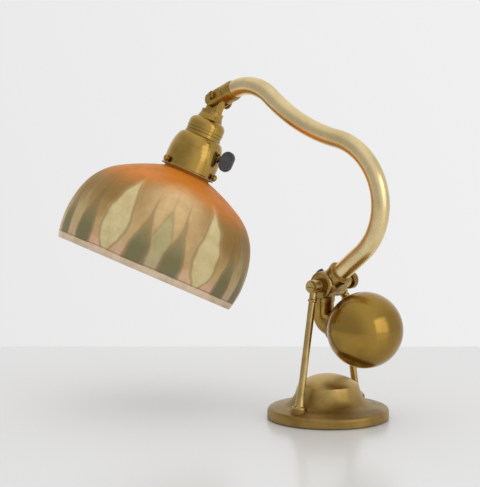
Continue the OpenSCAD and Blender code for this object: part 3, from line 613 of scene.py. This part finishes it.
def makeKnob():
    bore = knob["bore"]
    bm = spun([(bore, 0), (4.6, 0), (5.2, 0.5), (5.2, 2.4), (5.8, 3.0), (8.0, 3.0), (8.7, 3.6), (8.7, 9.3),
               (8.0, 10.0), (6.6, 10.0), (5.6, 9.2), (bore, 9.0)], knob["teeth"])
    knurl(bm, 3.7, 9.2, 8.7)
    finishPiece(bm, "tensionKnob", [finishes["brass"]], "knob", ["tension_knob"],
                shift(0, knob["outY"], arm["pivotH"]) @ turn(-90, "X"))


nut = {"near": 10.1, "far": 15.3, "bore": 2.55, "teeth": 44}


def makeNut():
    bore, low, high = nut["bore"], nut["near"], nut["far"]
    bm = spun([(bore, low), (5.0, low), (5.5, low + 0.4), (5.5, low + 1.3), (6.2, low + 1.7), (6.2, high - 1.3),
               (5.6, high - 0.7), (4.4, high), (bore, high)], nut["teeth"])
    knurl(bm, low + 1.7, high - 1.3, 6.2)
    finishPiece(bm, "knuckleNut", [finishes["brass"]], "nut", ["knuckle_nut"],
                inSwivel @ shift(0, 0, knuckle["reach"]) @ turn(-90, "X"))


screws = {"from": 25.1, "head": 29.6, "end": 33.6, "r": 3.2, "z": 80.0, "first": 30.0, "teeth": 26}


def makeScrews():
    low, head, end, r = screws["from"], screws["head"], screws["end"], screws["r"]
    bm = spun([(0, low), (1.5, low), (1.5, head), (2.4, head), (r, head + 0.6), (r, end - 0.7), (r - 0.5, end),
               (1.6, end), (1.2, end - 0.4), (0, end - 0.4)], screws["teeth"], closed=False)
    knurl(bm, head + 0.7, end - 0.8, r)
    outward = Matrix.Translation((0, 0, screws["z"])) @ turn(screws["first"], "Z") @ turn(90, "Y")
    bmesh.ops.transform(bm, matrix=outward, verts=bm.verts)
    one = bm.verts[:] + bm.edges[:] + bm.faces[:]
    for angle in (120, 240):
        copy = bmesh.ops.duplicate(bm, geom=one)["geom"]
        bmesh.ops.rotate(bm, cent=(0, 0, 0), matrix=turn(angle, "Z"), verts=vertsOf(copy))
    finishPiece(bm, "holderScrews", [finishes["brass"]], "head", ["holder_screws"], inHead)


# key of the switch: a turned stem and a flat grip, dished on both sides
key = {"z": 59.0, "side": 152.0, "from": 6.0, "collar": 29.8, "out": 38.0, "stem": 2.0, "sides": 40,
       "width": 15.0, "length": 22.0, "thick": 4.8, "edge": 1.1, "border": 0.9, "slope": 0.7, "dish": 0.5}


def makeKey():
    stem, out, half = key["stem"], key["out"], key["thick"] / 2
    low = key["collar"]
    bm = spun([(0, key["from"]), (stem, key["from"]), (stem, low), (2.8, low), (3.0, low + 0.4), (3.0, low + 2.0),
               (2.3, low + 2.6), (2.3, out), (0, out)], key["sides"], closed=False)
    bmesh.ops.transform(bm, matrix=turn(90, "Y"), verts=bm.verts)
    grip = bmesh.new()
    bmesh.ops.create_circle(grip, cap_ends=True, segments=64, radius=key["width"] / 2)
    stretch = (key["length"] - key["width"]) / 2
    for side in (1, -1):
        ends = [v for v in grip.verts if v.co.y * side > 0.01]
        bmesh.ops.translate(grip, verts=ends, vec=(0, side * stretch, 0))
    bmesh.ops.translate(grip, verts=grip.verts, vec=(0, 0, -half))
    far = bmesh.ops.extrude_face_region(grip, geom=grip.faces[:])["geom"]
    bmesh.ops.translate(grip, verts=vertsOf(far), vec=(0, 0, 2 * half))
    bmesh.ops.recalc_face_normals(grip, faces=grip.faces)
    flats = [f for f in grip.faces if abs(f.normal.z) > 0.9]
    rims = [e for f in flats for e in f.edges]
    bmesh.ops.bevel(grip, geom=rims, offset=key["edge"], offset_type="OFFSET", segments=4, profile=0.5,
                    affect="EDGES", material=-1)
    flats = [f for f in grip.faces if abs(f.normal.z) > 0.99 and len(f.verts) > 8]
    bmesh.ops.inset_individual(grip, faces=flats, thickness=key["border"])
    bmesh.ops.inset_individual(grip, faces=flats, thickness=key["slope"], depth=-key["dish"])
    bmesh.ops.transform(grip, matrix=Matrix.Translation((out, 0, 0)) @ turn(90, "X"), verts=grip.verts)
    mesh = bpy.data.meshes.new("grip")
    grip.to_mesh(mesh)
    grip.free()
    bm.from_mesh(mesh)
    finishPiece(bm, "switchKey", [finishes["dark_grip"]], "key", ["switch_key"],
                inHead @ shift(0, 0, key["z"]) @ turn(key["side"], "Z"))


makeKnob()
makeNut()
makeScrews()
makeKey()
print("knobs, screws and key made")


# inside of the bulb: glass mount, support wires and a zigzag filament, made as a curve and turned into a mesh
filament = {"low": 102.0, "high": 121.0, "r": 10.5, "hairpins": 7, "wire": 0.22, "hub": 118.0, "mount": 85.0,
            "sides": 32}


def makeFilament():
    foot = filament["mount"]
    bm = spun([(0, foot), (6.0, foot), (5.2, foot + 5), (3.4, foot + 13), (2.5, foot + 22), (2.5, foot + 24),
               (1.0, foot + 25), (1.0, foot + 31), (1.7, foot + 32), (1.7, foot + 34), (0, foot + 35)],
              filament["sides"], closed=False)
    line = bpy.data.curves.new("filamentLine", "CURVE")
    line.dimensions = "3D"
    line.bevel_depth = filament["wire"]
    line.bevel_resolution = 1
    n, r = filament["hairpins"], filament["r"]
    zigzag = []
    for i in range(2 * n):
        angle = 2 * pi * i / (2 * n + 1)
        zigzag.append((r * cos(angle), r * sin(angle), filament["high"] if i % 2 else filament["low"]))
    routes = [[(2.0, 0, foot + 23)] + zigzag + [(0.5, -2.0, foot + 23)]]
    routes += [[(0, 0, filament["hub"]), p] for p in zigzag[1::2]]
    for route in routes:
        spline = line.splines.new("POLY")
        spline.points.add(len(route) - 1)
        for point, co in zip(spline.points, route):
            point.co = co + (1,)
    obj = bpy.data.objects.new("filamentLine", line)
    bpy.context.collection.objects.link(obj)
    wires = bpy.data.meshes.new_from_object(obj.evaluated_get(bpy.context.evaluated_depsgraph_get()))
    bpy.data.objects.remove(obj)
    glassFaces = len(bm.faces)
    bm.from_mesh(wires)
    for i, face in enumerate(bm.faces):
        face.material_index = 0 if i < glassFaces else 1
    finishPiece(bm, "bulbFilament", [finishes["bulb_glass"], finishes["steel"]], "head", ["bulb_stem"],
                inHead)


makeFilament()
print("filament made")


# floor, backdrop and light
studio = {"wall": 0.815, "dim": 0.46, "glow": 0.06, "overhead": 0.95, "rightDim": 0.75,
          "brightSide": (0.45, 0.85, 0.30), "table": 0.78, "edgeBehind": 0.415, "reach": 1.6, "aim": (-0.05, 0, 0.18)}


def makeStudio():
    ahead = Vector((-sin(radians(view["turn"])), cos(radians(view["turn"])), 0))
    side = Vector((ahead.y, -ahead.x, 0))
    bm = bmesh.new()
    back, front, half = ahead * studio["edgeBehind"], ahead * -studio["reach"], side * studio["reach"]
    corners = [back - half, back + half, front + half, front - half]
    bm.faces.new([bm.verts.new(c) for c in corners])
    bmesh.ops.recalc_face_normals(bm, faces=bm.faces)
    mesh = bpy.data.meshes.new("floor")
    bm.to_mesh(mesh)
    bm.free()
    floor = bpy.data.objects.new("floor", mesh)
    bpy.context.collection.objects.link(floor)
    material, tree, shader = newMaterial("floorWhite")
    tone = studio["table"]
    setInputs(shader, {"Base Color": (tone, tone, tone * 0.995, 1), "Roughness": 0.22, "Specular IOR Level": 0.35})
    mesh.materials.append(material)
    world = bpy.data.worlds.new("softRoom")
    bpy.context.scene.world = world
    world.use_nodes = True
    tree = world.node_tree
    light = tree.nodes["Background"]
    coords = addNode(tree, "ShaderNodeTexCoord").outputs["Generated"]
    toward = addNode(tree, "ShaderNodeVectorMath", operation="DOT_PRODUCT")
    tree.links.new(coords, toward.inputs[0])
    toward.inputs[1].default_value = Vector(studio["brightSide"]).normalized()
    level = mapRange(tree, toward.outputs["Value"], -0.75, 0.10, studio["dim"], studio["wall"], smooth=True)
    level = mathNode(tree, "ADD", level, mapRange(tree, toward.outputs["Value"], 0.20, 0.45, 0.0, studio["glow"]))
    split = addNode(tree, "ShaderNodeSeparateXYZ")
    tree.links.new(coords, split.inputs["Vector"])
    above = mapRange(tree, split.outputs["Z"], 0.25, 0.85, 1.0, studio["overhead"], smooth=True)
    level = mathNode(tree, "MULTIPLY", level, above)
    beside = addNode(tree, "ShaderNodeVectorMath", operation="DOT_PRODUCT")
    tree.links.new(coords, beside.inputs[0])
    beside.inputs[1].default_value = side
    right = mapRange(tree, beside.outputs["Value"], 0.25, 0.85, 1.0, studio["rightDim"], smooth=True)
    level = mathNode(tree, "MULTIPLY", level, right)
    tree.links.new(level, light.inputs["Color"])
    light.inputs["Strength"].default_value = 1.0


# place, power, size, and whether it shows in gloss
lamps = {"right": ((1.50, 0.02, 0.60), 3.8, 1.1, True), "over": ((-0.60, -0.50, 2.0), 19.8, 4.0, False)}


def makeLamps():
    for name, (place, power, size, inGloss) in lamps.items():
        lamp = bpy.data.lights.new(name, "AREA")
        lamp.energy = power
        lamp.size = size
        obj = bpy.data.objects.new(name, lamp)
        obj.location = place
        obj.visible_glossy = inGloss
        obj.rotation_euler = (Vector(studio["aim"]) - Vector(place)).to_track_quat("-Z", "Y").to_euler()
        bpy.context.collection.objects.link(obj)


makeStudio()
makeLamps()
bpy.context.scene.view_settings.view_transform = "Standard"
print("studio and lamps set")
